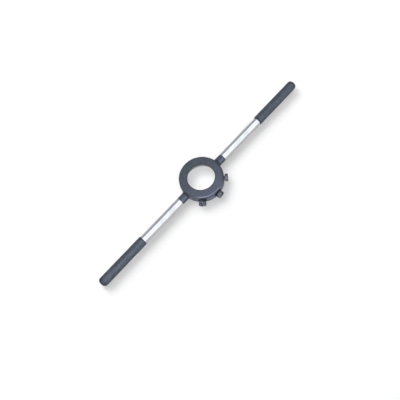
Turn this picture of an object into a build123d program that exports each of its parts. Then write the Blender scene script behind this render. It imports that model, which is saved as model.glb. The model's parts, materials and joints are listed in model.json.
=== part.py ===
from build123d import *
from math import asin, radians, sin, sqrt, tan
import os

# Stock for round threading dies, in millimetres.
# X runs along the two handles. The three screws are on the -Y side.
# +Z is the pocket's axis. The lip faces up and the pocket's mouth is at Z = 0.
# The origin is the centre of that mouth.

# Die that the stock takes
die_diameter = 38.0
die_thickness = 10.0
die_clearance = 0.05

# Ring of the head
ring_wall = 6.45
lip_thickness = 3.5
lip_width = 3.3
draft_angle = 2.0
top_edge_radius = 1.6
bottom_edge_radius = 0.9
pocket_mouth_chamfer = 0.5
lip_chamfer = 0.3

# Bosses that carry the handles
boss_diameter = 9.4
boss_length = 9.5
boss_end_chamfer = 0.4
boss_root_radius_in_plan = 2.6
boss_root_radius_above = 0.9
boss_root_sections = 7
boss_root_bite = 0.05

# Handles, measured from the pocket's axis
overall_length = 320.0
rod_diameter = 10.0
rod_edge_chamfer = 0.3
grip_diameter = 11.0
grip_length = 65.0
grip_end_radius = 4.0
grip_edge_chamfer = 0.2
spigot_diameter = 8.0
spigot_length = 56.0
spigot_chamfer = 0.5
spigot_end_gap = 0.5
spigot_clearance = 0.02

# Threaded joint between rod and boss
stub_diameter = 6.0
stub_length = 9.5
stub_chamfer = 0.7
stub_relief_diameter = 4.8
stub_relief_length = 1.2
handle_hole_depth = 10.5
drill_point_angle = 118.0

# Screws round the head: the spreading screw is square to the handles, with a clamp screw on each side
spreading_angle = -90.0
screw_diameter = 5.0
screw_root_diameter = 4.2
screw_head_diameter = 8.5
screw_head_height = 3.3
screw_head_edge_chamfer = 0.45
screw_spacing_angle = 45.0
screw_lift = 1.0
slot_width = 1.2
slot_depth = 1.6
spot_face_margin = 0.5
spot_face_depth = 1.2
screw_hole_chamfer = 0.4

# Each kind of screw: length under the head, angle of its cone point and width of the point's flat
clamp_reach = 7.0
clamp_point_angle = 90.0
clamp_point_flat = 1.5
spreading_reach = 7.5
spreading_point_angle = 60.0
spreading_point_flat = 1.2

# Rest positions: how far each head stands off its spot face, and turn of its slot
clamp_right_backed_out = 2.1
clamp_right_slot_turn = 2.0
spreading_backed_out = 2.6
spreading_slot_turn = -40.0
clamp_left_backed_out = 3.7
clamp_left_slot_turn = 14.0

# Clearance of a thread's plain cylinder in its hole, on the radius
thread_clearance = 0.05

# How far a cutter runs past the surface that it opens
cutter_overrun = 5.0

# Worked out from the values above
pocket_radius = die_diameter / 2 + die_clearance
ring_radius = pocket_radius + ring_wall
lip_radius = pocket_radius - lip_width
head_height = die_thickness + lip_thickness
mid_height = head_height / 2
boss_radius = boss_diameter / 2
boss_end = ring_radius + boss_length
grip_start = overall_length / 2 - grip_length
screw_height = die_thickness / 2 + screw_lift
clamp_right_angle = spreading_angle + screw_spacing_angle
clamp_left_angle = spreading_angle - screw_spacing_angle
screw_angles = (clamp_right_angle, spreading_angle, clamp_left_angle)
spot_face_radius = screw_head_diameter / 2 + spot_face_margin
spot_face_floor = ring_radius - spot_face_depth
screw_hole_radius = screw_diameter / 2 + thread_clearance
stub_hole_radius = stub_diameter / 2 + thread_clearance


def right_and_left(shape):
    """The shape on the +X side and the same shape turned round to the -X side."""
    return shape, Rot(0, 0, 180) * shape


def along_handle(distance):
    """Place on the handles' axis whose own Z points out along +X."""
    return Pos(distance, 0, mid_height) * Rot(0, 90, 0)


def on_spot_face(angle, stand_off=0):
    """Place on a screw's axis, off its spot face, whose own Z points away from the pocket."""
    return Rot(0, 0, angle) * Pos(spot_face_floor + stand_off, 0, screw_height) * Rot(0, 90, 0)


def arc_rise(run, radius):
    """How far a quarter round has left its tangent after a run along it."""
    run = min(max(run, 0.0), radius)
    return radius - sqrt(radius**2 - run**2)


def ring_blank():
    """Solid disc of the head, with draft both ways from the parting line at mid height."""
    face_radius = ring_radius - mid_height * tan(radians(draft_angle))
    outline = Polyline(
        (0, 0),
        (face_radius, 0),
        (ring_radius, mid_height),
        (face_radius, head_height),
        (0, head_height),
        close=True,
    )
    disc = revolve(Plane.XZ * make_face(outline), axis=Axis.Z)
    rims = disc.edges().filter_by(GeomType.CIRCLE).sort_by(Axis.Z)
    disc = fillet(rims[0], bottom_edge_radius)
    rims = disc.edges().filter_by(GeomType.CIRCLE).sort_by(Axis.Z)
    return fillet(rims[-1], top_edge_radius)


def boss():
    """One handle boss on +X: a plain cylinder whose root flares into the ring's wall.

    In plan the flare is a round that touches the boss's side and the ring. Above and below
    it is a smaller round, because the ring is hardly higher than the boss.
    """
    wall_radius = ring_radius - boss_root_bite
    round_centre_y = boss_radius + boss_root_radius_in_plan
    round_reach = wall_radius + boss_root_radius_in_plan
    flare_start = sqrt(round_reach**2 - round_centre_y**2)
    flare_start_above = wall_radius + boss_root_radius_above
    last_turn = asin(flare_start / round_reach)
    sections = []
    for step in range(boss_root_sections):
        turn = last_turn * step / (boss_root_sections - 1)
        run = boss_root_radius_in_plan * sin(turn)
        run_above = flare_start_above - (flare_start - run)
        half_width = boss_radius + arc_rise(run, boss_root_radius_in_plan)
        half_height = boss_radius + arc_rise(run_above, boss_root_radius_above)
        section = Plane(
            origin=(flare_start - run, 0, mid_height),
            x_dir=(0, 1, 0),
            z_dir=(1, 0, 0),
        )
        sections.append(section * Ellipse(half_width, half_height))
    barrel_length = boss_end - flare_start
    barrel = Cylinder(boss_radius, barrel_length, align=(Align.CENTER, Align.CENTER, Align.MIN))
    barrel = chamfer(barrel.edges().sort_by(Axis.Z)[-1], boss_end_chamfer)
    return loft(sections) + along_handle(flare_start) * barrel


def handle_hole():
    """Tapped blind hole in a boss, drawn inwards from the boss's end face, with its drill point."""
    drill_point = stub_hole_radius / tan(radians(drill_point_angle / 2))
    outline = Polyline(
        (boss_end, 0),
        (boss_end, stub_hole_radius),
        (boss_end - handle_hole_depth, stub_hole_radius),
        (boss_end - handle_hole_depth - drill_point, 0),
        close=True,
    )
    return Pos(0, 0, mid_height) * revolve(Plane.XZ * make_face(outline), axis=Axis.X)


def screw_hole():
    """Tapped hole through the wall, with the spot face that the screw's head seats on."""
    low = (Align.CENTER, Align.CENTER, Align.MIN)
    hole_length = spot_face_floor - pocket_radius
    inner_end = Pos(0, 0, -hole_length - cutter_overrun)
    hole = inner_end * Cylinder(screw_hole_radius, hole_length + cutter_overrun, align=low)
    spot_face = Cylinder(spot_face_radius, spot_face_depth + cutter_overrun, align=low)
    entry = Pos(0, 0, -screw_hole_chamfer) * Cone(
        screw_hole_radius,
        screw_hole_radius + screw_hole_chamfer,
        screw_hole_chamfer,
        align=low,
    )
    return hole + spot_face + entry


def die_seat():
    """Everything turned out of the head from below: the pocket, the opening in the lip and their edges."""
    outline = Polyline(
        (0, 0),
        (pocket_radius + pocket_mouth_chamfer, 0),
        (pocket_radius, pocket_mouth_chamfer),
        (pocket_radius, die_thickness),
        (lip_radius, die_thickness),
        (lip_radius, head_height - lip_chamfer),
        (lip_radius + lip_chamfer, head_height),
        (0, head_height),
        close=True,
    )
    return revolve(Plane.XZ * make_face(outline), axis=Axis.Z)


def head():
    """One-piece head: ring, bosses and every machined hole."""
    body = ring_blank()
    for side in right_and_left(boss()):
        body += side
    body -= die_seat()
    for side in right_and_left(handle_hole()):
        body -= side
    for angle in screw_angles:
        body -= on_spot_face(angle) * screw_hole()
    return body


def rod():
    """Right rod, turned in one piece: threaded stub, bright shank and the spigot inside the grip."""
    stub_end = boss_end - stub_length
    spigot_end = grip_start + spigot_length
    stub_radius = stub_diameter / 2
    relief_radius = stub_relief_diameter / 2
    shank_radius = rod_diameter / 2
    spigot_radius = spigot_diameter / 2
    outline = Polyline(
        (stub_end, 0),
        (stub_end, stub_radius - stub_chamfer),
        (stub_end + stub_chamfer, stub_radius),
        (boss_end - stub_relief_length, stub_radius),
        (boss_end - stub_relief_length, relief_radius),
        (boss_end, relief_radius),
        (boss_end, shank_radius - rod_edge_chamfer),
        (boss_end + rod_edge_chamfer, shank_radius),
        (grip_start - rod_edge_chamfer, shank_radius),
        (grip_start, shank_radius - rod_edge_chamfer),
        (grip_start, spigot_radius),
        (spigot_end - spigot_chamfer, spigot_radius),
        (spigot_end, spigot_radius - spigot_chamfer),
        (spigot_end, 0),
        close=True,
    )
    return Pos(0, 0, mid_height) * revolve(Plane.XZ * make_face(outline), axis=Axis.X)


def grip():
    """Right grip: a sleeve closed and domed at its outer end, bored for the rod's spigot."""
    low = (Align.CENTER, Align.CENTER, Align.MIN)
    sleeve = Cylinder(grip_diameter / 2, grip_length, align=low)
    rims = sleeve.edges().filter_by(GeomType.CIRCLE).sort_by(Axis.Z)
    sleeve = fillet(rims[-1], grip_end_radius)
    rims = sleeve.edges().filter_by(GeomType.CIRCLE).sort_by(Axis.Z)
    sleeve = chamfer(rims[0], grip_edge_chamfer)
    bore_radius = spigot_diameter / 2 + spigot_clearance
    sleeve -= Cylinder(bore_radius, spigot_length + spigot_end_gap, align=low)
    return along_handle(grip_start) * sleeve


def slotted_screw(reach, point_angle, point_flat, slot_turn):
    """Cheese-head screw along Z, with the underside of its head at Z = 0 and its cone point below."""
    major = screw_diameter / 2
    root = screw_root_diameter / 2
    flat = point_flat / 2
    cone_length = (root - flat) / tan(radians(point_angle / 2))
    thread_start = -reach + cone_length
    outline = Polyline(
        (0, -reach),
        (flat, -reach),
        (root, thread_start),
        (major, thread_start + major - root),
        (major, 0),
        (screw_head_diameter / 2, 0),
        (screw_head_diameter / 2, screw_head_height),
        (0, screw_head_height),
        close=True,
    )
    screw = revolve(Plane.XZ * make_face(outline), axis=Axis.Z)
    rim = screw.edges().filter_by(GeomType.CIRCLE).group_by(Axis.Z)[-1]
    screw = chamfer(rim, screw_head_edge_chamfer)
    slot = Pos(0, 0, screw_head_height - slot_depth) * Box(
        screw_head_diameter,
        slot_width,
        slot_depth + cutter_overrun,
        align=(Align.CENTER, Align.CENTER, Align.MIN),
    )
    return Rot(0, 0, slot_turn) * (screw - slot)


def clamp_screw(slot_turn):
    """Screw whose short cone point drops into a dimple in the die's edge."""
    return slotted_screw(clamp_reach, clamp_point_angle, clamp_point_flat, slot_turn)


def spreading_screw(slot_turn):
    """Screw whose long cone point wedges the die's slit open."""
    return slotted_screw(spreading_reach, spreading_point_angle, spreading_point_flat, slot_turn)


nodes = {"head": head()}
nodes["rod_right"], nodes["rod_left"] = right_and_left(rod())
nodes["grip_right"], nodes["grip_left"] = right_and_left(grip())
right_place = on_spot_face(clamp_right_angle, clamp_right_backed_out)
spreading_place = on_spot_face(spreading_angle, spreading_backed_out)
left_place = on_spot_face(clamp_left_angle, clamp_left_backed_out)
nodes["clamp_screw_right"] = right_place * clamp_screw(clamp_right_slot_turn)
nodes["spreading_screw"] = spreading_place * spreading_screw(spreading_slot_turn)
nodes["clamp_screw_left"] = left_place * clamp_screw(clamp_left_slot_turn)

os.makedirs("parts", exist_ok=True)
for name, shape in nodes.items():
    export_step(shape, f"parts/{name}.step")
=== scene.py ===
import json
import logging
from dataclasses import dataclass
from enum import Enum
from math import atan2, cos, pi, radians, sin, tan

import bmesh
import bpy
from mathutils import Matrix, Vector


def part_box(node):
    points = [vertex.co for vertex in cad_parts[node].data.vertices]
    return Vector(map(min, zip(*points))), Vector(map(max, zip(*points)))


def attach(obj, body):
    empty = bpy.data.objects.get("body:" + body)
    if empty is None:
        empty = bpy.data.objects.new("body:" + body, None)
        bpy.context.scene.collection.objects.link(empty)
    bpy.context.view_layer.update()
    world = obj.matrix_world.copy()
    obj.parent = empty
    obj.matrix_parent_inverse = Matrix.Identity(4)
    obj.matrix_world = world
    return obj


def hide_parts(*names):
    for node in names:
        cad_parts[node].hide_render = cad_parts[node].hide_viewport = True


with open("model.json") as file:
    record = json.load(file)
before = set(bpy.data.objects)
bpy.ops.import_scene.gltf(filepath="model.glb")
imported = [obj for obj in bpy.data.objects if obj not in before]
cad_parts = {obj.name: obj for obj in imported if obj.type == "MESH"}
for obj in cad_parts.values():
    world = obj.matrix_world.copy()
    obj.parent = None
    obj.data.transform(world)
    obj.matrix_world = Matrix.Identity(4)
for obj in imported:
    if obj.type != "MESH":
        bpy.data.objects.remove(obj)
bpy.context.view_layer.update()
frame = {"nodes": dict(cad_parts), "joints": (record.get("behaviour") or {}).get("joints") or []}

log = logging.getLogger("die_stock")
MM = 0.001
FULL_TURN = 2 * pi
# Points nearer to each other than this, in millimetres, are one point.
TOUCHING = 1e-3

Tree = bpy.types.NodeTree
Node = bpy.types.Node
Socket = bpy.types.NodeSocket
Object = bpy.types.Object
Shape = bmesh.types.BMesh
# What can feed an input: an output, or a node that stands for its first output in use.
Feed = Node | Socket
Colour = tuple[float, float, float, float]
Settings = dict[int | str, object]
# Where something starts and where it ends.
Span = tuple[float, float]
# Radius and height of each point of a section, in millimetres.
Outline = list[tuple[float, float]]


def linear(hex_colour: str) -> Colour:
    """Turns a colour as a screen shows it into the linear values that a shader takes.

    Args:
        hex_colour: six hex digits of an sRGB colour.

    Returns:
        Red, green, blue and an alpha of one, in linear light.
    """
    channels = [int(hex_colour[i:i + 2], 16) / 255 for i in (0, 2, 4)]
    light = [c / 12.92 if c <= 0.04045 else ((c + 0.055) / 1.055) ** 2.4 for c in channels]
    return light[0], light[1], light[2], 1.0


class Swatch(Enum):
    """A set of named colours, each written as sRGB."""

    def colour(self) -> Colour:
        """The colour in linear light, as a shader takes it."""
        return linear(self.value)


class Enamel(Swatch):
    """Tones of the head's enamel, and of the shade, highlight and light painted on it."""

    DEEP_CLOUD = "253541"
    CLOUD = "2A3B47"
    PALE_CLOUD = "30404D"
    # Painted light: the enamel is lighter towards the front.
    PAINTED_FRONT_LIGHT = "565B76"
    CREST = "5E6B79"
    HOLLOW = "191E26"
    PIT = "1C2128"
    # Painted shade on the bosses' sides, the rim and its right wall.
    SHADED = "10141A"
    # Painted highlight on the rim's front round and the bosses' upper front.
    PAINTED_HIGHLIGHT = "949AB4"
    # Painted shade in corners and in the creases at the bosses' roots.
    CORNER_SHADE = "0C0E12"
    # Painted shade in the spot faces and tapped holes.
    RECESS_SHADE = "0E1018"


class Metal(Swatch):
    """Tones of the bare metals that show."""

    PLATED_STEEL = "CFD1D5"
    HANDLED_PLATE = "C6C8CC"
    MACHINED_IRON = "BFC1C4"
    STAINED_IRON = "A4A7AB"
    WORN_STEEL = "B4B6B9"


class Blackening(Swatch):
    """Tones of the blackened steel on the grips and the screws, and of the shade painted into the screws'
    corners.
    """

    GRIP_DARK = "3A4049"
    GRIP_PALE = "414853"
    GRIP_CREST = "7F8895"
    GRIP_DIRT = "1B1F26"
    SCREW_DARK = "5A5E66"
    SCREW_PALE = "757A83"
    # Painted shade in the screws' corners.
    SCREW_CORNER_SHADE = "0D0E12"


class Backdrop(Swatch):
    """Tones of the background paper and the room round it."""

    SHEET = "F4F4F5"
    FIBRE = "F7F7F7"
    ROOM = "F6F8FF"


def feed(node: Node, settings: Settings) -> None:
    """Sets a node's own properties and its inputs.

    Args:
        node: the node.
        settings: values by name. A number, or the name of an input in use, sets that input, or
            links it where the value is a socket or a node. Any other name is a property.
    """
    for name, value in settings.items():
        if isinstance(name, int):
            entry = node.inputs[name]
        else:
            entry = next((e for e in node.inputs if e.enabled and e.name == name), None)
        if isinstance(value, Node):
            value = next(output for output in value.outputs if output.enabled)
        if entry is None:
            setattr(node, name, value)
        elif isinstance(value, Socket):
            node.id_data.links.new(value, entry)
        else:
            entry.default_value = value


def add(tree: Tree, kind: str, settings: Settings | None = None) -> Node:
    """Adds a node, sets it and links it.

    Args:
        tree: the tree that takes it.
        kind: the node's type, without the "ShaderNode" in front.
        settings: its properties and inputs, as feed takes them.

    Returns:
        The new node.
    """
    node = tree.nodes.new("ShaderNode" + kind)
    feed(node, settings or {})
    return node


def combine(tree: Tree, operation: str, *values: Feed | float) -> Feed:
    """Combines any number of values, from the first to the last.

    Args:
        tree: the material's nodes.
        operation: what is done with two values, as Blender's Math node names it.
        values: the values.

    Returns:
        The last result.
    """
    result = values[0]
    for value in values[1:]:
        result = add(tree, "Math", {"operation": operation, 0: result, 1: value})
    return result


def product(tree: Tree, *values: Feed | float) -> Feed:
    """Multiplies any number of values."""
    return combine(tree, "MULTIPLY", *values)


def spread(tree: Tree, value: Feed, low: float, high: float, start: float = 0.3, end: float = 0.7) -> Feed:
    """Spreads part of a value's range over another range.

    Args:
        tree: the material's nodes.
        value: the value that is read, such as a noise, which mostly stays between 0.3 and 0.7.
        low: what start becomes.
        high: what end becomes.
        start: lower end of the part that is read.
        end: upper end of the part that is read.

    Returns:
        The new value, held between low and high.
    """
    limits = {"From Min": start, "From Max": end, "To Min": low, "To Max": high}
    return add(tree, "MapRange", {"clamp": True, "Value": value, **limits})


def within(tree: Tree, value: Feed, low: float, high: float) -> Feed:
    """Finds where a value lies between two limits, as a mask."""
    above = combine(tree, "GREATER_THAN", value, low)
    return product(tree, above, combine(tree, "LESS_THAN", value, high))


def speckle(tree: Tree, place: Socket, grain: float, detail: float = 3.0) -> Feed:
    """A noise from 0 to 1 whose lumps are about as large as a grain, in millimetres."""
    settings = {"Vector": place, "Scale": 1 / (grain * MM), "Detail": detail, "Roughness": 0.55}
    return add(tree, "TexNoise", settings)


def layered(tree: Tree, ground: Swatch, layers: list[tuple[Feed, Swatch]]) -> Feed:
    """Lays colours over each other, each by its own mask.

    Args:
        tree: the material's nodes.
        ground: the colour under them all.
        layers: mask and colour of each layer, from the lowest up.

    Returns:
        The colour that shows.
    """
    shown = ground.colour()
    for mask, swatch in layers:
        shown = add(tree, "Mix", {"data_type": "RGBA", "Factor": mask, "A": shown, "B": swatch.colour()})
    return shown


def corner_shade(tree: Tree, reach: float, patches: Feed) -> Feed:
    """Finds corners where shade falls, for painting shade into them.

    Args:
        tree: the material's nodes.
        reach: how near two walls are where the painted shade starts, in millimetres.
        patches: a noise that breaks it up.

    Returns:
        A mask, 1 deep in the corners.
    """
    open_sky = add(tree, "AmbientOcclusion", {"samples": 8, "Distance": reach * MM}).outputs["AO"]
    corner = spread(tree, open_sky, 1.0, 0.0, 0.25, 0.75)
    return product(tree, corner, spread(tree, patches, 0.6, 0.95))


def edge_wear(tree: Tree, width: float, patches: Feed) -> Feed:
    """Finds edges that stand out, broken up by a noise, where a finish rubs through.

    Args:
        tree: the material's nodes.
        width: how far from an edge the rubbing reaches, in millimetres.
        patches: a noise that breaks the rubbing up.

    Returns:
        A mask, 1 on worn edges.
    """
    rounded = add(tree, "Bevel", {"samples": 6, "Radius": width * MM})
    plain = add(tree, "NewGeometry").outputs["Normal"]
    match = add(tree, "VectorMath", {"operation": "DOT_PRODUCT", 0: rounded, 1: plain})
    edge = spread(tree, match, 1.0, 0.0, 0.86, 0.985)
    return product(tree, edge, spread(tree, patches, 0.0, 1.0, 0.42, 0.62))


@dataclass(frozen=True)
class Finish:
    """What every finish shares: a material by name, with a Principled shader to fill.

    Attributes:
        name: the material's name, which says what the real one is.
        patch_size: size of the patches in which its tone or sheen changes, in millimetres.
    """

    name: str
    patch_size: float

    def material(self) -> bpy.types.Material:
        """Makes the material once and returns it every time after.

        Returns:
            The finished material.
        """
        known = bpy.data.materials.get(self.name)
        if known:
            return known
        material = bpy.data.materials.new(self.name)
        material.use_nodes = True
        tree = material.node_tree
        tree.nodes.clear()
        shader = add(tree, "BsdfPrincipled")
        add(tree, "OutputMaterial", {"Surface": shader})
        self.dress(tree, shader, add(tree, "TexCoord").outputs["Object"])
        return material

    def dress(self, tree: Tree, shader: Node, place: Socket) -> None:
        """Fills in the shader. Each finish does this its own way.

        Args:
            tree: the material's nodes.
            shader: its Principled shader.
            place: the point on the piece, in metres.
        """
        raise NotImplementedError


@dataclass
class CastPlaces:
    """Finds the places on the casting that its finish treats apart.

    Lengths are in millimetres. The point that is coloured is measured once: x, y and z, its
    radius from the pocket's axis, its distance along the handles and from_highlight_spot, its lean, which
    is 1 where it faces up and 0 where it is upright, and how far it is on_rim and on_boss.

    Attributes:
        tree: the material's nodes.
        place: the point that is coloured, in metres.
        seat_radius: radius inside which the metal is turned bare.
        seat_height: height below which it is turned bare.
        spot_face_radius: radius inside which a wall is a spot face or a tapped hole.
        spot_face_heights: heights of the spot faces' lowest and highest points.
        rim: radii where the top face turns into the rim.
        opening_edge: radii where the lip's dark edge ends.
        boss: distances along the handles where the ring turns into a boss.
        root_start: the same where the shade painted in a boss's root starts.
        root_end: the same where it ends.
        boss_front: places on Y where the bosses' painted highlight fades.
        right_wall: places on X where shade starts to be painted on the ring's right side.
        highlight_spot: the spot round which a highlight is painted on the rim.
        highlight_reach: distances from that spot where the rim's painted highlight fades.
        rim_shade_start: the same where shade starts to be painted on the rim's round.
    """

    tree: Tree
    place: Socket
    seat_radius: float = 19.58
    seat_height: float = 10.02
    spot_face_radius: float = 24.9
    spot_face_heights: Span = (1.1, 10.9)
    rim: Span = (22.0, 24.0)
    opening_edge: Span = (16.0, 17.2)
    boss: Span = (26.0, 27.5)
    root_start: Span = (24.4, 25.8)
    root_end: Span = (26.6, 28.2)
    boss_front: Span = (-2.6, -0.8)
    right_wall: Span = (12.0, 20.0)
    highlight_spot: tuple[float, float, float] = (-9.0, -24.0, 0.0)
    highlight_reach: Span = (11.0, 20.0)
    rim_shade_start: Span = (18.0, 25.0)

    def __post_init__(self) -> None:
        """Measures the point that is coloured."""
        tree = self.tree
        point = add(tree, "VectorMath", {"operation": "SCALE", 0: self.place, "Scale": 1 / MM})
        flat = add(tree, "VectorMath", {"operation": "MULTIPLY", 0: point, 1: (1.0, 1.0, 0.0)})
        self.x, self.y, self.z = add(tree, "SeparateXYZ", {0: point}).outputs
        self.radius = add(tree, "VectorMath", {"operation": "LENGTH", 0: flat})
        self.along = add(tree, "Math", {"operation": "ABSOLUTE", 0: self.x})
        self.from_highlight_spot = add(tree, "VectorMath", {"operation": "DISTANCE", 0: flat, 1: self.highlight_spot})
        normal = add(tree, "NewGeometry").outputs["Normal"]
        self.lean = add(tree, "SeparateXYZ", {0: normal}).outputs["Z"]
        self.on_rim = spread(tree, self.radius, 0.0, 1.0, *self.rim)
        self.on_boss = spread(tree, self.along, 0.0, 1.0, *self.boss)

    def seat(self) -> Feed:
        """The die's seat, which is turned bare."""
        inside = combine(self.tree, "LESS_THAN", self.radius, self.seat_radius)
        return product(self.tree, inside, combine(self.tree, "LESS_THAN", self.z, self.seat_height))

    def recess_shade(self) -> Feed:
        """The spot faces and the tapped holes behind them, where shade is painted in."""
        in_wall = within(self.tree, self.radius, self.seat_radius, self.spot_face_radius)
        return product(self.tree, in_wall, within(self.tree, self.z, *self.spot_face_heights))

    def flank(self) -> Feed:
        """The bosses' upright sides, where shade is painted darker and the sheen made duller."""
        return product(self.tree, spread(self.tree, self.lean, 1.0, 0.0, 0.25, 0.65), self.on_boss)

    def crease(self) -> Feed:
        """The crease in which each boss leaves the ring, where shade is painted in."""
        starting = spread(self.tree, self.along, 0.0, 1.0, *self.root_start)
        return product(self.tree, starting, spread(self.tree, self.along, 0.6, 0.0, *self.root_end))

    def edges_painted_darker(self) -> Feed:
        """Finds the edges that are painted darker: shade on the rim and its right wall, and a darker band
        round the opening.

        Returns:
            A mask of the rim away from the highlight spot, of its right wall and of the opening's edge.
        """
        tree = self.tree
        # Painted shade on the rim's round away from the highlight spot.
        on_round = product(
            tree,
            spread(tree, self.lean, 0.0, 1.0, 0.2, 0.5),
            spread(tree, self.lean, 1.0, 0.0, 0.90, 0.985),
            spread(tree, self.from_highlight_spot, 0.0, 1.0, *self.rim_shade_start),
        )
        # Painted shade on the ring's right side.
        at_right = spread(tree, self.x, 0.0, 1.0, *self.right_wall)
        off_boss = spread(tree, self.on_boss, 1.0, 0.0, 0.0, 1.0)
        rim = product(tree, self.on_rim, off_boss, combine(tree, "MAXIMUM", on_round, at_right))
        # A darker band round the opening's edge.
        opening = spread(tree, self.radius, 1.0, 0.0, *self.opening_edge)
        return product(tree, combine(tree, "MAXIMUM", rim, opening), 0.5)

    def wear_and_highlight(self) -> Feed:
        """Finds where a highlight is painted lighter.

        Returns:
            A mask of the rim's round near the highlight spot and of the bosses' upper front.
        """
        tree = self.tree
        # Painted highlight on the rim's round near the spot and on the bosses' upper front.
        rim = product(tree, self.on_rim, spread(tree, self.from_highlight_spot, 0.8, 0.0, *self.highlight_reach))
        boss = product(tree, self.on_boss, spread(tree, self.y, 0.42, 0.0, *self.boss_front))
        patches = speckle(tree, self.place, 9.0, 1.0)
        return product(
            tree,
            combine(tree, "MAXIMUM", rim, boss),
            spread(tree, self.lean, 0.0, 1.0, 0.35, 0.75),
            spread(tree, self.lean, 1.0, 0.0, 0.88, 0.985),
            spread(tree, patches, 0.5, 1.0, 0.36, 0.60),
        )


@dataclass(frozen=True)
class CastEnamel(Finish):
    """Satin blue-grey enamel baked on grey cast iron, bare where the casting is machined.

    The eye gets a soft sheen that breaks up on the pits and grain of the sand casting. Shade is
    painted darker into corners, creases, the spot faces, the bosses' sides, the rim away from the
    front and the right wall, with a darker band round the opening, and a highlight is painted
    lighter on the rim's front round and the bosses' upper front. The enamel is also painted lighter
    towards the front, as light falls there. The die's seat shows turning rings. Lengths are in
    millimetres.

    Attributes:
        pit_size: size of the casting's pits.
        sand_size: size of the coarser sand grain.
        cloud_size: size of the clouds in its colour.
        corner_shade_reach: how near two walls are where shade is painted into the corner.
        handling_and_front_light: places on Y where the light painted towards the front fades.
        turning_ring: distance between the rings that the tool leaves in the seat.
    """

    name: str = "satin_enamel_on_cast_iron"
    patch_size: float = 5.0
    # The mould's sand is about 0.3 mm. It is drawn coarser so that it shows.
    pit_size: float = 0.8
    sand_size: float = 1.4
    cloud_size: float = 14.0
    corner_shade_reach: float = 3.5
    handling_and_front_light: Span = (-24.0, 20.0)
    # The rings are 0.15 mm apart on the real one. They are drawn coarser so that they show.
    turning_ring: float = 0.5

    def dress(self, tree: Tree, shader: Node, place: Socket) -> None:
        """Fills in the shader with worn enamel and the bare seat.

        Args:
            tree, shader, place: as in Finish.dress.
        """
        at = CastPlaces(tree, place)
        pits = speckle(tree, place, self.pit_size, 4.0)
        waves = speckle(tree, place, self.patch_size, 2.0)
        seat, flank = at.seat(), at.flank()
        # Painted shade: corners that the occlusion finds and the creases at the bosses' roots are darker;
        # the same mask dulls the sheen.
        dirt_and_shade = combine(tree, "MAXIMUM", corner_shade(tree, self.corner_shade_reach, waves), at.crease())
        # Painted shade on the bosses' sides, the rim and its right wall, a darker band round the opening,
        # a painted highlight on the rim's front round and the bosses' upper front, and painted shade in
        # the spot faces.
        enamel = self.enamel(at, pits, [
            (product(tree, flank, spread(tree, waves, 0.6, 0.95)), Enamel.SHADED),
            (at.edges_painted_darker(), Enamel.SHADED),
            (at.wear_and_highlight(), Enamel.PAINTED_HIGHLIGHT),
            (dirt_and_shade, Enamel.CORNER_SHADE),
            (at.recess_shade(), Enamel.RECESS_SHADE),
        ])
        iron = layered(tree, Metal.MACHINED_IRON, [(waves, Metal.STAINED_IRON)])
        satin = spread(tree, waves, 0.30, 0.42)
        for mask, dulling in ((dirt_and_shade, 0.4), (flank, 0.2)):
            satin = combine(tree, "ADD", satin, product(tree, mask, dulling))
        skin = add(tree, "Bump", {"Strength": 0.35, "Distance": 0.06 * MM, "Height": pits})
        skin = add(tree, "Bump", {"Strength": 0.5, "Distance": 0.12 * MM, "Height": waves, "Normal": skin})
        cut = add(tree, "Bump", {"Strength": 0.3, "Distance": 0.01 * MM, "Height": self.rings(at)})
        feed(shader, {
            "Base Color": add(tree, "Mix", {"data_type": "RGBA", "Factor": seat, "A": enamel, "B": iron}),
            "Metallic": seat,
            "Roughness": add(tree, "Mix", {"data_type": "FLOAT", "Factor": seat, "A": satin, "B": 0.33}),
            "IOR": 1.5,
            "Normal": add(tree, "Mix", {"data_type": "VECTOR", "Factor": seat, "A": skin, "B": cut}),
        })

    def enamel(self, at: CastPlaces, pits: Feed, shade_and_highlights: list[tuple[Feed, Swatch]]) -> Feed:
        """Colours the enamel, from its own clouds up to the shade and highlights painted on it.

        Args:
            at: the places on the casting.
            pits: noise of the casting's pits.
            shade_and_highlights: mask and colour of each painted shade and highlight, from the lowest up.

        Returns:
            The enamel's colour.
        """
        tree = at.tree
        clouds = speckle(tree, at.place, self.cloud_size, 2.0)
        sand = speckle(tree, at.place, self.sand_size, 2.0)
        return layered(tree, Enamel.DEEP_CLOUD, [
            (spread(tree, clouds, 0.0, 1.0, 0.30, 0.55), Enamel.CLOUD),
            (spread(tree, clouds, 0.0, 1.0, 0.55, 0.75), Enamel.PALE_CLOUD),
            # Painted light: the enamel is lighter towards the front, as light falls there.
            (spread(tree, at.y, 0.7, 0.0, *self.handling_and_front_light), Enamel.PAINTED_FRONT_LIGHT),
            (spread(tree, pits, 0.35, 0.0, 0.30, 0.46), Enamel.PIT),
            (spread(tree, sand, 0.0, 0.30, 0.50, 0.66), Enamel.CREST),
            (spread(tree, sand, 0.25, 0.0, 0.30, 0.48), Enamel.HOLLOW),
            *shade_and_highlights,
        ])

    def rings(self, at: CastPlaces) -> Feed:
        """Height of the turning rings, across the seat's floor and up its wall."""
        phase = product(at.tree, combine(at.tree, "ADD", at.radius, at.z), FULL_TURN / self.turning_ring)
        return add(at.tree, "Math", {"operation": "SINE", 0: phase})


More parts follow.
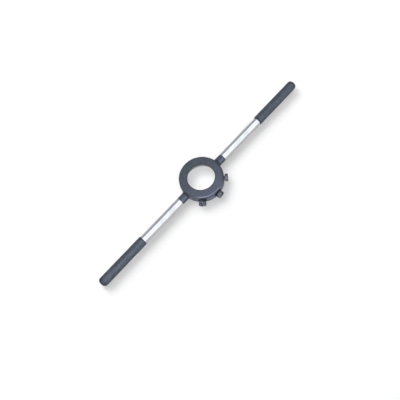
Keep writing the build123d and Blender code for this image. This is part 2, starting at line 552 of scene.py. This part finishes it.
@dataclass(frozen=True)
class PlatedRod(Finish):
    """Bright nickel plate over a finely turned steel rod.

    The eye gets a near mirror that draws the room into long bands, softened across the rod by
    the tool's fine rings and dulled here and there by handling.

    Attributes:
        ring_step: distance between the tool's rings along the rod, in millimetres.
        ring_length: how far a ring runs round the rod before it changes, in millimetres.
    """

    name: str = "bright_nickel_on_turned_steel"
    patch_size: float = 9.0
    # The tool leaves a ring every 0.1 mm. They are drawn coarser so that they show.
    ring_step: float = 0.35
    ring_length: float = 40.0

    def dress(self, tree: Tree, shader: Node, place: Socket) -> None:
        """Fills in the shader with plate, turning rings and faint smudges.

        Args:
            tree, shader, place: as in Finish.dress.
        """
        smudge = speckle(tree, place, self.patch_size, 4.0)
        lengths = (self.ring_step, self.ring_length, self.ring_length)
        scale = tuple(1 / (length * MM) for length in lengths)
        stretched = add(tree, "Mapping", {"Vector": place, "Scale": scale})
        rings = add(tree, "TexNoise", {"Vector": stretched, "Scale": 1.0, "Detail": 2.0})
        dull, ringed = spread(tree, smudge, 0.10, 0.20), spread(tree, rings, 0.0, 0.05)
        handling_and_front_light = spread(tree, smudge, 0.0, 1.0)
        feed(shader, {
            "Base Color": layered(tree, Metal.PLATED_STEEL, [(handling_and_front_light, Metal.HANDLED_PLATE)]),
            "Metallic": 1.0,
            "Roughness": combine(tree, "ADD", dull, ringed),
            "Normal": add(tree, "Bump", {"Strength": 0.12, "Distance": 0.004 * MM, "Height": rings}),
        })


@dataclass(frozen=True)
class BlackenedKnurl(Finish):
    """Blackened steel with a fine diamond knurl, worn a little lighter on the crests.

    The eye gets a dark blue-grey that scatters a broad soft band of light, with a fine grain
    from the diamonds. Lengths are in millimetres.

    Attributes:
        grain_size: size of the grain that dulls the steel.
        dirt_size: size of the dark specks of soil in the bottoms of the diamonds.
    """

    name: str = "blackened_knurled_steel"
    patch_size: float = 6.0
    grain_size: float = 0.5
    dirt_size: float = 1.3

    def dress(self, tree: Tree, shader: Node, place: Socket) -> None:
        """Fills in the shader, reading how high each point of the knurl stands.

        Args:
            tree, shader, place: as in Finish.dress.
        """
        height = add(tree, "Attribute", {"attribute_name": "crest"}).outputs["Fac"]
        patches = speckle(tree, place, self.patch_size)
        grain = speckle(tree, place, self.grain_size, 2.0)
        dirt_and_shade = speckle(tree, place, self.dirt_size)
        on_crest = spread(tree, height, 0.0, 0.7, 0.55, 1.0)
        wear_and_highlight = product(tree, on_crest, spread(tree, patches, 0.6, 1.0))
        colour = layered(tree, Blackening.GRIP_DARK, [
            (spread(tree, patches, 0.0, 1.0), Blackening.GRIP_PALE),
            (wear_and_highlight, Blackening.GRIP_CREST),
            (spread(tree, dirt_and_shade, 0.5, 0.0, 0.36, 0.56), Blackening.GRIP_DIRT),
        ])
        feed(shader, {
            "Base Color": colour,
            "Metallic": 0.75,
            "Roughness": spread(tree, grain, 0.33, 0.46),
            "Normal": add(tree, "Bump", {"Strength": 0.3, "Distance": 0.03 * MM, "Height": grain}),
        })


@dataclass(frozen=True)
class BlackOxide(Finish):
    """Black oxide on turned steel screws, bright where a screwdriver and fingers rub it.

    The eye gets a dark, slightly greasy metal with light edges round the slot and the rim.
    Lengths are in millimetres.

    Attributes:
        grain_size: size of the grain that dulls the steel.
        wear_width: how far from an edge it is rubbed bright.
        corner_shade_reach: how near two walls are where shade is painted into the corner.
    """

    name: str = "black_oxide_on_steel"
    patch_size: float = 1.6
    grain_size: float = 0.3
    wear_width: float = 0.2
    corner_shade_reach: float = 2.4

    def dress(self, tree: Tree, shader: Node, place: Socket) -> None:
        """Fills in the shader with oxide, its worn edges and the shade painted into its corners.

        Args:
            tree, shader, place: as in Finish.dress.
        """
        patches = speckle(tree, place, self.patch_size)
        grain = speckle(tree, place, self.grain_size, 2.0)
        colour = layered(tree, Blackening.SCREW_DARK, [
            (spread(tree, patches, 0.0, 1.0), Blackening.SCREW_PALE),
            (product(tree, edge_wear(tree, self.wear_width, patches), 0.5), Metal.WORN_STEEL),
            # Painted shade in the screws' corners.
            (corner_shade(tree, self.corner_shade_reach, patches), Blackening.SCREW_CORNER_SHADE),
        ])
        feed(shader, {
            "Base Color": colour,
            "Metallic": 1.0,
            "Roughness": spread(tree, patches, 0.48, 0.62),
            "Normal": add(tree, "Bump", {"Strength": 0.2, "Distance": 0.02 * MM, "Height": grain}),
        })


@dataclass(frozen=True)
class StudioPaper(Finish):
    """Matt white background paper, with a tone that hardly changes."""

    name: str = "matt_white_paper"
    patch_size: float = 3.0

    def dress(self, tree: Tree, shader: Node, place: Socket) -> None:
        """Fills in the shader with paper white and a faint fibre."""
        fibre = speckle(tree, place, self.patch_size)
        feed(shader, {
            "Base Color": layered(tree, Backdrop.SHEET, [(fibre, Backdrop.FIBRE)]),
            "Roughness": 0.95,
            "Specular IOR Level": 0.1,
        })


def meshed(name: str, bm: Shape) -> bpy.types.Mesh:
    """Writes a shape to a new mesh.

    Args:
        name: the mesh's name.
        bm: the shape, which is freed.

    Returns:
        The mesh.
    """
    mesh = bpy.data.meshes.new(name)
    bm.to_mesh(mesh)
    bm.free()
    return mesh


def placed(name: str, data: bpy.types.ID) -> Object:
    """Adds a new object to the scene.

    Args:
        name: the object's name.
        data: its mesh, light or camera.

    Returns:
        The object.
    """
    made = bpy.data.objects.new(name, data)
    bpy.context.scene.collection.objects.link(made)
    return made


def piece(name: str, bm: Shape, finish: Finish, crease_degrees: float = 35.0) -> Object:
    """Turns a bmesh into a finished object at the origin, smooth except at its creases.

    Args:
        name: the piece's name.
        bm: its shape in metres, which is freed.
        finish: what it is made of.
        crease_degrees: an edge that turns more than this stays sharp.

    Returns:
        The new object, linked to the scene.
    """
    mesh = meshed(name, bm)
    mesh.shade_smooth()
    mesh.set_sharp_from_angle(angle=radians(crease_degrees))
    mesh.materials.append(finish.material())
    return placed(name, mesh)


def spun(outline: Outline, steps: int, turn: float = FULL_TURN, climb: float = 0.0) -> Shape:
    """Spins an outline round Z: right round as a lathe would, or as a ridge with flat ends.

    Args:
        outline: what is spun. A ridge's last point joins its first.
        steps: how many flats go round.
        turn: how far it goes, in radians.
        climb: how far it rises on the way, in millimetres.

    Returns:
        The shape in millimetres, with its normals outwards.
    """
    bm = bmesh.new()
    points = [bm.verts.new((radius, 0.0, height)) for radius, height in outline]
    lathe = turn == FULL_TURN
    ends = points[1:] if lathe else points[1:] + points[:1]
    edges = [bm.edges.new(pair) for pair in zip(points, ends)]
    bmesh.ops.spin(
        bm,
        geom=[*points, *edges],
        cent=(0, 0, 0),
        axis=(0, 0, 1),
        dvec=(0, 0, climb / steps),
        angle=turn,
        steps=steps,
        use_merge=lathe,
    )
    if lathe:
        bmesh.ops.remove_doubles(bm, verts=bm.verts, dist=TOUCHING)
    else:
        bmesh.ops.holes_fill(bm, edges=bm.edges, sides=len(points))
    bmesh.ops.recalc_face_normals(bm, faces=bm.faces)
    return bm


def quarter_round(corner: tuple[float, float], radius: float, steps: int) -> Outline:
    """Points of the round that takes off an outline's outer upper corner.

    Args:
        corner: radius and height of the corner.
        radius: radius of the round.
        steps: how many straight runs it is drawn with.

    Returns:
        Its points, from the side to the top.
    """
    across, up = corner[0] - radius, corner[1] - radius
    turns = [pi / 2 * step / steps for step in range(steps + 1)]
    return [(across + radius * cos(turn), up + radius * sin(turn)) for turn in turns]


def join(bm: Shape, other: Shape) -> None:
    """Adds one shape to another.

    Args:
        bm: the shape that grows.
        other: the shape that is added, which is freed.
    """
    mesh = meshed("joining", other)
    bm.from_mesh(mesh)
    bpy.data.meshes.remove(mesh)


def cut_from(bm: Shape, cutter: Shape) -> Shape:
    """Cuts one shape out of another.

    Args:
        bm: the shape that is cut, which is freed.
        cutter: the shape that is taken out of it, which is freed.

    Returns:
        What is left.
    """
    body, tool = (placed("cutting", meshed("cutting", shape)) for shape in (bm, cutter))
    boolean = body.modifiers.new("cut", "BOOLEAN")
    boolean.operation = "DIFFERENCE"
    boolean.solver = "EXACT"
    boolean.object = tool
    left = bmesh.new()
    left.from_object(body, bpy.context.evaluated_depsgraph_get())
    for used in (body, tool):
        mesh = used.data
        bpy.data.objects.remove(used)
        bpy.data.meshes.remove(mesh)
    return left


@dataclass
class HeadCasting:
    """The one-piece head: its solid's own shape with smooth skin, and the mould's parting ridge.

    Lengths are in millimetres.

    Attributes:
        ring_radius: radius of the wall at the parting line.
        parting_height: height of the parting line.
        ridge_height: how far the parting ridge stands out.
        ridge_root: how deep its foot lies inside the wall.
        ridge_width: its width at its foot.
        ridge_arcs: where the ridge runs, in degrees from +X, clear of bosses and spot faces.
        ridge_step: turn of one flat of the ridge, in degrees.
    """

    ring_radius: float = 25.5
    parting_height: float = 6.75
    ridge_height: float = 0.18
    ridge_root: float = 0.3
    ridge_width: float = 0.9
    ridge_arcs: tuple[Span, ...] = ((17, 163), (197, 214), (236, 259), (281, 304), (326, 343))
    ridge_step: float = 2.0

    def build(self) -> Object:
        """Makes the casting's piece and reports it.

        Returns:
            The casting.
        """
        bm = bmesh.new()
        bm.from_mesh(frame["nodes"]["head"].data)
        bmesh.ops.remove_doubles(bm, verts=bm.verts, dist=TOUCHING * MM)
        for start, end in self.ridge_arcs:
            join(bm, self.ridge(start, end))
        casting = piece("head_casting", bm, CastEnamel(), crease_degrees=28.0)
        weighted = casting.modifiers.new("even_shading", "WEIGHTED_NORMAL")
        weighted.keep_sharp = True
        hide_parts("head")
        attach(casting, "stock")
        log.info("head casting: %d faces", len(casting.data.polygons))
        return casting

    def ridge(self, start: float, end: float) -> Shape:
        """Makes one arc of the fine ridge that the two halves of the mould leave round the wall.

        Args:
            start: where it starts, in degrees from +X.
            end: where it ends.

        Returns:
            The arc in metres.
        """
        foot, half = self.ring_radius - self.ridge_root, self.ridge_width / 2
        section = [(foot, -half), (self.ring_radius + self.ridge_height, 0.0), (foot, half)]
        bm = spun(section, round((end - start) / self.ridge_step), radians(end - start))
        place = Matrix.Scale(MM, 4) @ Matrix.Translation((0, 0, self.parting_height))
        place = place @ Matrix.Rotation(radians(start), 4, "Z")
        bmesh.ops.transform(bm, matrix=place, verts=bm.verts)
        return bm


@dataclass
class HandleRod:
    """One bright rod, which keeps its solid and gets its plate.

    Attributes:
        node: name of the rod's solid.
    """

    node: str

    def build(self) -> Object:
        """Dresses the rod's solid and reports it.

        Returns:
            The rod.
        """
        rod = frame["nodes"][self.node]
        rod.data.materials.clear()
        rod.data.materials.append(PlatedRod().material())
        log.info("%s: dressed in bright plate", self.node)
        return rod


@dataclass
class KnurledGrip:
    """One closed grip sleeve with a fine diamond knurl up to its round end.

    Lengths are in millimetres.

    Attributes:
        node: name of the grip's solid.
        side: 1 on +X and -1 on -X.
        end_radius: round of the closed end.
        end_steps: how many straight runs that round is drawn with.
        edge_chamfer: chamfer of the open end.
        bore_radius: radius of the bore.
        wall_shown: how deep the bore is drawn at the open end.
        pitch: distance between neighbouring diamonds.
        pitch_steps: how many flats draw one diamond, along the grip and round it.
        depth: depth of the knurl.
        steepness: how steeply a groove's walls rise, so that above 1 the crests are flat.
        plain_band: width of the plain band at the open end.
        plain_height: height that plain metal counts as, where a groove is 0 and a crest is 1.
    """

    node: str
    side: int
    end_radius: float = 4.0
    end_steps: int = 10
    edge_chamfer: float = 0.2
    bore_radius: float = 4.02
    wall_shown: float = 1.5
    pitch: float = 1.5
    pitch_steps: int = 8
    depth: float = 0.24
    steepness: float = 1.6
    plain_band: float = 0.7
    plain_height: float = 0.5

    def build(self) -> Object:
        """Turns the sleeve, rolls the knurl and reports it.

        Returns:
            The grip.
        """
        low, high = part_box(self.node)
        radius = (high.z - low.z) / 2 / MM
        length = (high.x - low.x) / MM
        knurl_end = length - self.end_radius
        starts = round(FULL_TURN * radius / self.pitch)
        bm = spun(self.outline(radius, length, knurl_end), self.pitch_steps * starts)
        self.roll_knurl(bm, radius, knurl_end, starts)
        start = (low.x if self.side > 0 else -high.x) / MM
        place = Matrix.Translation((0, 0, (low.z + high.z) / 2 / MM))
        place = Matrix.Scale(MM, 4) @ place @ Matrix.Rotation(0 if self.side > 0 else pi, 4, "Z")
        place = place @ Matrix.Translation((start, 0, 0)) @ Matrix.Rotation(pi / 2, 4, "Y")
        bmesh.ops.transform(bm, matrix=place, verts=bm.verts)
        grip = piece(self.node.replace("grip", "knurled_grip"), bm, BlackenedKnurl(), crease_degrees=60.0)
        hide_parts(self.node)
        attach(grip, "stock")
        log.info("%s: %d faces", grip.name, len(grip.data.polygons))
        return grip

    def outline(self, radius: float, length: float, knurl_end: float) -> Outline:
        """Draws half of the sleeve's section, with close points where the knurl comes.

        Args:
            radius: the sleeve's outer radius.
            length: its length.
            knurl_end: height at which the closed end's round starts.

        Returns:
            Its points, from the bore round to the closed end's middle.
        """
        knurled = knurl_end - self.plain_band
        rings = round(knurled / (self.pitch / self.pitch_steps))
        points = [(self.bore_radius, self.wall_shown), (self.bore_radius, 0.0)]
        points += [(radius - self.edge_chamfer, 0.0), (radius, self.edge_chamfer)]
        points += [(radius, self.plain_band + knurled * ring / rings) for ring in range(rings + 1)]
        points += quarter_round((radius, length), self.end_radius, self.end_steps)[1:]
        return points + [(0.0, length)]

    def roll_knurl(self, bm: Shape, radius: float, knurl_end: float, starts: int) -> None:
        """Presses two crossing sets of helical grooves into the sleeve.

        Args:
            bm: the sleeve in millimetres, along Z.
            radius: its outer radius.
            knurl_end: height at which the closed end's round starts.
            starts: how many diamonds go round.
        """
        crest = bm.verts.layers.float.new("crest")
        for vert in bm.verts:
            reach = Vector(vert.co.xy).length
            if reach < radius - TOUCHING or not self.plain_band <= vert.co.z <= knurl_end:
                vert[crest] = self.plain_height
                continue
            turn = atan2(vert.co.y, vert.co.x) * starts
            climb = vert.co.z / self.pitch * FULL_TURN
            groove = abs(sin((turn + climb) / 2) * sin((turn - climb) / 2))
            height = min(1.0, groove * self.steepness)
            from_band, from_round = vert.co.z - self.plain_band, knurl_end - vert.co.z
            run_in = min(1.0, from_band / self.pitch, from_round / self.pitch)
            vert[crest] = self.plain_height + (height - self.plain_height) * run_in
            vert.co.xy *= (radius - self.depth * (1 - height) * run_in) / reach


class Point(Enum):
    """The two kinds of cone point: angle in degrees and width of the flat in millimetres."""

    CLAMP = (90.0, 1.5)
    SPREAD = (60.0, 1.2)


@dataclass
class SlottedScrew:
    """One slotted cheese-head screw, threaded and pointed. Lengths are in millimetres.

    Attributes:
        node: name of the screw's solid, which is also its body.
        point: which cone point it has.
        slot_turn: turn of the slot, in degrees.
        reach: length under the head.
        major: radius of the thread's crests.
        root: radius of the thread's roots.
        pitch: thread pitch.
        thread_sink: how deep the thread's foot lies inside the core.
        thread_foot: half the width of the thread's foot, as a share of the pitch.
        thread_crest: half the width of its crest, as a share of the pitch.
        thread_gap: how far under the head the thread ends.
        thread_steps: how many flats draw one turn of it.
        head_radius: radius of the head.
        head_height: height of the head.
        head_edge: round of the head's upper rim.
        head_edge_steps: how many straight runs that round is drawn with.
        head_foot: chamfer of its lower rim.
        neck_height: how far under the head the core widens towards it.
        neck_width: how much it widens.
        slot_width: width of the slot.
        slot_depth: depth of the slot.
        slot_edge: bevel of the slot's edges.
        flats: how many flats go round the head and the core.
        axis_height: height of the screws' axes above the floor.
    """

    node: str
    point: Point
    slot_turn: float
    reach: float = 7.0
    major: float = 2.5
    root: float = 2.05
    pitch: float = 0.8
    thread_sink: float = 0.1
    thread_foot: float = 0.44
    thread_crest: float = 0.0625
    thread_gap: float = 0.6
    thread_steps: int = 48
    head_radius: float = 4.25
    head_height: float = 3.3
    head_edge: float = 0.45
    head_edge_steps: int = 5
    head_foot: float = 0.15
    neck_height: float = 0.35
    neck_width: float = 0.3
    slot_width: float = 1.2
    slot_depth: float = 1.6
    slot_edge: float = 0.1
    flats: int = 72
    axis_height: float = 6.0

    def build(self) -> Object:
        """Turns the screw, cuts its slot and thread, puts it in its hole and reports it.

        Returns:
            The screw.
        """
        axis = next(Vector(j["axis"]) for j in frame["joints"] if j["child"] == self.node)
        corners = (axis.dot(v.co) for v in frame["nodes"][self.node].data.vertices)
        seat = max(corners) / MM - self.head_height
        place = Matrix.Scale(MM, 4) @ Matrix.Rotation(atan2(axis.y, axis.x), 4, "Z")
        place = place @ Matrix.Translation((seat, 0, self.axis_height)) @ Matrix.Rotation(pi / 2, 4, "Y")
        bm = self.head_and_core()
        join(bm, self.thread())
        turn = Matrix.Rotation(radians(self.slot_turn), 4, "Z")
        bmesh.ops.transform(bm, matrix=place @ turn, verts=bm.verts)
        screw = piece(self.node.replace("screw", "threaded_screw"), bm, BlackOxide(), crease_degrees=30.0)
        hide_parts(self.node)
        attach(screw, self.node)
        log.info("%s: %d faces", screw.name, len(screw.data.polygons))
        return screw

    def cone_end(self) -> float:
        """Height, under the head's underside at 0, at which the cone point meets the core."""
        angle, flat = self.point.value
        return (self.root - flat / 2) / tan(radians(angle / 2)) - self.reach

    def head_and_core(self) -> Shape:
        """Turns the head, the core under the thread and the cone point, and saws the slot.

        Returns:
            The shape in millimetres, with the underside of the head at height 0.
        """
        _, flat = self.point.value
        outline = [(0.0, -self.reach), (flat / 2, -self.reach), (self.root, self.cone_end())]
        outline += [(self.root, -self.neck_height), (self.root + self.neck_width, 0.0)]
        outline += [(self.head_radius - self.head_foot, 0.0), (self.head_radius, self.head_foot)]
        corner = self.head_radius, self.head_height
        outline += quarter_round(corner, self.head_edge, self.head_edge_steps)
        outline += [(0.0, self.head_height)]
        saw = bmesh.new()
        bmesh.ops.create_cube(saw, size=1.0)
        size = (3 * self.head_radius, self.slot_width, 2 * self.slot_depth)
        bmesh.ops.scale(saw, vec=size, verts=saw.verts)
        bmesh.ops.translate(saw, vec=(0, 0, self.head_height), verts=saw.verts)
        bm = cut_from(spun(outline, self.flats), saw)
        bmesh.ops.bevel(
            bm,
            geom=[edge for edge in bm.edges if self.is_slot_edge(edge)],
            offset=self.slot_edge,
            offset_type="OFFSET",
            segments=2,
            profile=0.5,
            affect="EDGES",
            material=-1,
        )
        return bm

    def is_slot_edge(self, edge: bmesh.types.BMEdge) -> bool:
        """Says whether an edge is where a wall of the slot meets the top of the head."""
        away = [(abs(v.co.y) - self.slot_width / 2, v.co.z - self.head_height) for v in edge.verts]
        return len(edge.link_faces) == 2 and all(abs(y) < TOUCHING and z > -TOUCHING for y, z in away)

    def thread(self) -> Shape:
        """Winds the thread's ridge.

        Returns:
            The ridge in millimetres, with the underside of the head at height 0.
        """
        start = self.cone_end() - self.pitch / 2
        turns = (-self.thread_gap - start) / self.pitch
        steps = round(self.thread_steps * turns)
        crest, foot = self.thread_crest * self.pitch, self.thread_foot * self.pitch
        sunk = self.root - self.thread_sink
        section = [(sunk, -foot), (self.major, -crest), (self.major, crest), (sunk, foot)]
        ridge = spun(section, steps, FULL_TURN * turns, self.pitch * turns)
        bmesh.ops.translate(ridge, vec=(0, 0, start), verts=ridge.verts)
        return ridge


def towards(azimuth: float, elevation: float) -> Vector:
    """The way that a turn from +X and a rise from the floor point, both in degrees."""
    turn, rise = radians(azimuth), radians(elevation)
    return Vector((cos(turn) * cos(rise), sin(turn) * cos(rise), sin(rise)))


def face(made: Object, right: Vector, back: Vector) -> None:
    """Turns a light or a camera until its right side and its back point these ways, or nearly."""
    made.rotation_mode = "QUATERNION"
    made.rotation_quaternion = Matrix((right, back.cross(right), back)).transposed().to_quaternion()


@dataclass(frozen=True)
class Softbox:
    """One even, rectangular light over the head.

    It faces the head with its length along the handles. Where these two ways aren't square,
    each gives way by about half.

    Attributes:
        name: the light's name.
        azimuth: its direction from the head, in degrees from +X.
        elevation: its height above the floor, in degrees.
        length: its size along the handles, in metres.
        width: its size across them, in metres.
        brightness: its radiance, where white paper in full light has about one.
        shift: how far it is moved along the handles, in metres.
        distance: how far away it hangs, in metres.
        in_sheens: whether a bright metal can mirror it.
    """

    name: str
    azimuth: float
    elevation: float
    length: float
    width: float
    brightness: float
    shift: float = 0.0
    distance: float = 1.0
    in_sheens: bool = True

    def hang(self, lit: list[Object], shading: list[Object] | None = None) -> None:
        """Hangs the light, and keeps it off what it isn't meant for.

        Args:
            lit: everything that it lights.
            shading: everything that casts a shadow in it, or all there is where this is left out.
        """
        out, level = towards(self.azimuth, self.elevation), Vector((1, 0, 0))
        light = bpy.data.lights.new(self.name, "AREA")
        light.shape = "RECTANGLE"
        light.size = self.length
        light.size_y = self.width
        light.energy = self.brightness * pi * self.length * self.width
        light.cycles.use_multiple_importance_sampling = self.in_sheens
        lamp = placed(self.name, light)
        lamp.location = out * self.distance + level * self.shift
        face(lamp, level, out)
        linking = lamp.light_linking
        linking.receiver_collection = bpy.data.collections.new(self.name + "_lights")
        for one in lit:
            linking.receiver_collection.objects.link(one)
        if shading is not None:
            linking.blocker_collection = bpy.data.collections.new(self.name + "_shadows")
            for one in shading:
                linking.blocker_collection.objects.link(one)


@dataclass
class Studio:
    """Paper, lights and camera, set as the photograph's are.

    Attributes:
        head: the casting and its screws.
        rods: the two bright rods.
        grips: the two knurled grips.
        paper_half: half of the paper's side, in metres.
        sky_low: brightness of the sky at the horizon.
        sky_high: its brightness from sky_top up.
        sky_top: height at which it stops changing, where straight up is 1.
        aim: the point on the handles' plane that the camera looks at, in millimetres.
        azimuth: direction of the camera from that point, in degrees from +X.
        elevation: its height above the horizon, in degrees.
        distance: how far away it is, in millimetres.
        roll: how far its top leans to its right, in degrees.
        sensor: width of the camera's sensor, in millimetres.
        lens: its focal length, in millimetres.
    """

    head: list[Object]
    rods: list[Object]
    grips: list[Object]
    paper_half: float = 4.0
    sky_low: float = 0.74
    sky_high: float = 0.50
    sky_top: float = 0.8
    aim: tuple[float, float, float] = (-19.63, -15.8, 6.75)
    azimuth: float = -117.67
    elevation: float = 67.43
    distance: float = 607.0
    roll: float = 20.67
    sensor: float = 36.0
    lens: float = 49.05

    def build(self) -> None:
        """Makes the paper, the lights, the sky and the camera."""
        paper = self.lay_paper()
        self.light_metal()
        self.light_paper([paper])
        self.light_sky()
        self.set_camera()
        bpy.context.scene.view_settings.view_transform = "Standard"
        log.info("studio: paper, lights and camera")

    def lay_paper(self) -> Object:
        """Lays a sheet of paper much larger than the view.

        Returns:
            The sheet.
        """
        bm = bmesh.new()
        bmesh.ops.create_grid(bm, x_segments=1, y_segments=1, size=self.paper_half)
        sheet = piece("paper_floor", bm, StudioPaper())
        return sheet

    def light_metal(self) -> None:
        """Hangs the lights that draw the sheens, each for the pieces whose sheen it matches."""
        dark = self.head + self.grips
        for light, lit in (
            (Softbox("softbox_behind", 90.0, 80.0, 1.6, 0.90, 1.50, shift=-0.4), dark),
            (Softbox("softbox_in_front", -90.0, 42.0, 1.6, 0.92, 1.40, shift=-0.4), dark),
            (Softbox("rod_softbox_above", -90.0, 81.0, 1.8, 0.92, 1.20, shift=-0.1), self.rods),
            (Softbox("rod_softbox_in_front", -90.0, 31.5, 1.8, 0.72, 1.20, shift=-0.1), self.rods),
            (Softbox("lamp_left", -142.0, 50.0, 0.40, 0.40, 4.0), dark),
            (Softbox("lamp_right", -48.0, 44.0, 0.45, 0.40, 4.0), self.grips),
        ):
            light.hang(lit)
        # The rods' own lights are so bright that the rods would throw glare on the paper.
        for rod in self.rods:
            rod.visible_diffuse = False

    def light_paper(self, paper: list[Object]) -> None:
        """Hangs the paper's own lights, which no sheen shows, for the photograph's soft, even shadow.

        Args:
            paper: the sheet of paper.
        """
        Softbox("floor_key", 84.0, 44.0, 8.1, 5.4, 3.95, distance=9.0, in_sheens=False).hang(paper)
        for name, brightness, distance, shading in (
            ("floor_fill", 0.57, 3.0, paper),
            ("floor_fill_round_head", 0.11, 3.1, self.head),
            ("floor_fill_shaded", 0.38, 3.2, None),
        ):
            fill = Softbox(name, 90.0, 90.0, 8.0, 8.0, brightness, distance=distance, in_sheens=False)
            fill.hang(paper, shading)
        # The bright pocket throws light back on the paper under it.
        glow = Softbox("pocket_glow", 90.0, 72.0, 0.024, 0.012, 0.30, distance=0.009, in_sheens=False)
        glow.hang(paper)

    def light_sky(self) -> None:
        """Surrounds the scene with a pale room, brighter low down, that only sheens take light from."""
        world = bpy.data.worlds.new("studio")
        bpy.context.scene.world = world
        world.use_nodes = True
        tree = world.node_tree
        tree.nodes.clear()
        direction = add(tree, "TexCoord").outputs["Generated"]
        height = add(tree, "SeparateXYZ", {0: direction}).outputs["Z"]
        strength = spread(tree, height, self.sky_low, self.sky_high, 0.0, self.sky_top)
        sky = add(tree, "Background", {"Color": Backdrop.ROOM.colour(), "Strength": strength})
        add(tree, "OutputWorld", {"Surface": sky})
        world.cycles_visibility.diffuse = False

    def set_camera(self) -> None:
        """Places the camera that takes the photograph's view."""
        back, level = towards(self.azimuth, self.elevation), towards(self.azimuth + 90.0, 0.0)
        roll = radians(self.roll)
        lens = bpy.data.cameras.new("camera")
        lens.sensor_width = self.sensor
        lens.lens = self.lens
        camera = placed("camera", lens)
        camera.location = (Vector(self.aim) + back * self.distance) * MM
        face(camera, level * cos(roll) - back.cross(level) * sin(roll), back)
        bpy.context.scene.camera = camera


def main() -> None:
    """Builds every sub-assembly in order."""
    logging.basicConfig(level=logging.INFO, format="%(message)s")
    head = [HeadCasting().build()]
    rods = [HandleRod("rod_right").build(), HandleRod("rod_left").build()]
    grips = [KnurledGrip("grip_right", 1).build(), KnurledGrip("grip_left", -1).build()]
    head.append(SlottedScrew("clamp_screw_right", Point.CLAMP, 2.0).build())
    head.append(SlottedScrew("spreading_screw", Point.SPREAD, -40.0, reach=7.5).build())
    head.append(SlottedScrew("clamp_screw_left", Point.CLAMP, 14.0).build())
    Studio(head, rods, grips).build()


if __name__ == "__main__":
    main()
